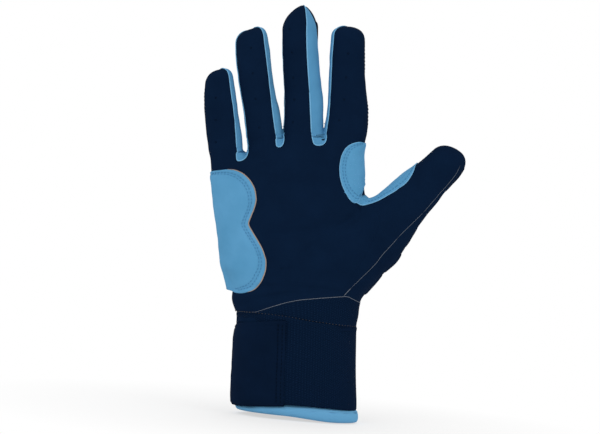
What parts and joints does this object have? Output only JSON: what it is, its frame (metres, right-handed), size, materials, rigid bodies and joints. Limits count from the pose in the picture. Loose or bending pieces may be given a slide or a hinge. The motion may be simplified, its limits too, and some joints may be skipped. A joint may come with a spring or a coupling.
{
  "type": "hockey glove",
  "caption": "Right-hand padded hockey glove with jointed finger stalls, light gussets, heel pad, web patch, wrist cuff and a turning closing flap.",
  "frame": {"origin": "centre of the wrist opening, in the plane of the cuff rim that the glove stands on", "axes": "+Z from the cuff to the fingertips, -Y out of the palm, +Y out of the back of the hand, +X towards the thumb"},
  "size_m": [0.1657, 0.0518, 0.2549],
  "materials": {
    "palm_suede": "matte suede",
    "flex_leather": "matte suede, creased",
    "back_fabric": "matte stretch weave",
    "pad_cover": "matte, foam filled",
    "gusset_fabric": "matte stretch knit",
    "blue_leather": "matte, stitched",
    "rib_knit": "ribbed knit",
    "cuff_fabric": "smooth laminated fabric",
    "hook_tape": "matte hook tape"
  },
  "bodies": {
    "cuff": {"cuff_band": "cuff_fabric", "cuff_sleeve": "gusset_fabric", "band_loop": "rib_knit"},
    "flap": {"cuff_flap": "cuff_fabric", "flap_hook": "hook_tape"},
    "hand": {"palm_leather": "palm_suede", "hand_back": "back_fabric", "heel_pad": "blue_leather", "web_patch": "blue_leather", "finger_crotches": "gusset_fabric", "back_pads": "pad_cover", "wrist_flex": "back_fabric", "wrist_wedge": "rib_knit", "index_base_flex": "flex_leather", "middle_base_flex": "flex_leather", "ring_base_flex": "flex_leather", "little_base_flex": "flex_leather", "thumb_base_flex": "flex_leather"},
    "index_lower": {"index_front_lower": "palm_suede", "index_gusset_lower": "gusset_fabric", "index_back_lower": "back_fabric", "index_pad_lower": "pad_cover", "index_mid_flex": "flex_leather"},
    "index_upper": {"index_front_upper": "palm_suede", "index_gusset_upper": "gusset_fabric", "index_back_upper": "back_fabric", "index_pad_upper": "pad_cover"},
    "middle_lower": {"middle_front_lower": "palm_suede", "middle_gusset_lower": "gusset_fabric", "middle_back_lower": "back_fabric", "middle_pad_lower": "pad_cover", "middle_mid_flex": "flex_leather"},
    "middle_upper": {"middle_front_upper": "palm_suede", "middle_gusset_upper": "gusset_fabric", "middle_back_upper": "back_fabric", "middle_pad_upper": "pad_cover"},
    "ring_lower": {"ring_front_lower": "palm_suede", "ring_gusset_lower": "gusset_fabric", "ring_back_lower": "back_fabric", "ring_pad_lower": "pad_cover", "ring_mid_flex": "flex_leather"},
    "ring_upper": {"ring_front_upper": "palm_suede", "ring_gusset_upper": "gusset_fabric", "ring_back_upper": "back_fabric", "ring_pad_upper": "pad_cover"},
    "little_lower": {"little_front_lower": "palm_suede", "little_gusset_lower": "gusset_fabric", "little_back_lower": "back_fabric", "little_pad_lower": "pad_cover", "little_mid_flex": "flex_leather"},
    "little_upper": {"little_front_upper": "palm_suede", "little_gusset_upper": "gusset_fabric", "little_back_upper": "back_fabric", "little_pad_upper": "pad_cover"},
    "thumb_lower": {"thumb_front_lower": "palm_suede", "thumb_back_lower": "back_fabric", "thumb_mid_flex": "flex_leather"},
    "thumb_upper": {"thumb_front_upper": "palm_suede", "thumb_back_upper": "back_fabric", "thumb_pad_upper": "pad_cover"}
  },
  "joints": [
    {"name": "wrist_bend", "type": "hinge", "parent": "cuff", "child": "hand", "pos_m": [-0.0065, 0, 0.073], "axis": [1, 0, 0], "range_deg": [-20, 30], "deforming": ["wrist_flex", "wrist_wedge"]},
    {"name": "index_knuckle", "type": "hinge", "parent": "hand", "child": "index_lower", "pos_m": [0.01438, 0, 0.18349], "axis": [1, 0, 0], "range_deg": [0, 60], "deforming": ["index_base_flex"]},
    {"name": "index_middle", "type": "hinge", "parent": "index_lower", "child": "index_upper", "pos_m": [0.01265, 0, 0.21444], "axis": [1, 0, 0], "range_deg": [0, 70], "deforming": ["index_mid_flex"]},
    {"name": "middle_knuckle", "type": "hinge", "parent": "hand", "child": "middle_lower", "pos_m": [-0.01312, 0, 0.18198], "axis": [1, 0, 0], "range_deg": [0, 60], "deforming": ["middle_base_flex"]},
    {"name": "middle_middle", "type": "hinge", "parent": "middle_lower", "child": "middle_upper", "pos_m": [-0.01544, 0, 0.21791], "axis": [1, 0, 0], "range_deg": [0, 70], "deforming": ["middle_mid_flex"]},
    {"name": "ring_knuckle", "type": "hinge", "parent": "hand", "child": "ring_lower", "pos_m": [-0.03698, 0, 0.17737], "axis": [1, 0, 0], "range_deg": [0, 60], "deforming": ["ring_base_flex"]},
    {"name": "ring_middle", "type": "hinge", "parent": "ring_lower", "child": "ring_upper", "pos_m": [-0.04268, 0, 0.20784], "axis": [1, 0, 0], "range_deg": [0, 70], "deforming": ["ring_mid_flex"]},
    {"name": "little_knuckle", "type": "hinge", "parent": "hand", "child": "little_lower", "pos_m": [-0.0599, 0, 0.16644], "axis": [1, 0, 0], "range_deg": [0, 60], "deforming": ["little_base_flex"]},
    {"name": "little_middle", "type": "hinge", "parent": "little_lower", "child": "little_upper", "pos_m": [-0.06297, 0, 0.18822], "axis": [1, 0, 0], "range_deg": [0, 62], "deforming": ["little_mid_flex"]},
    {"name": "thumb_knuckle", "type": "hinge", "parent": "hand", "child": "thumb_lower", "pos_m": [0.04962, 0, 0.12996], "axis": [0.766, 0, -0.6428], "range_deg": [0, 38], "deforming": ["thumb_base_flex"]},
    {"name": "thumb_middle", "type": "hinge", "parent": "thumb_lower", "child": "thumb_upper", "pos_m": [0.06649, 0, 0.15007], "axis": [0.766, 0, -0.6428], "range_deg": [0, 48], "deforming": ["thumb_mid_flex"]},
    {"name": "flap_turn", "type": "hinge", "parent": "cuff", "child": "flap", "pos_m": [-0.04081, -0.0015, 0.033], "axis": [0.0698, 0, -0.9976], "range_deg": [0, 110]}
  ]
}
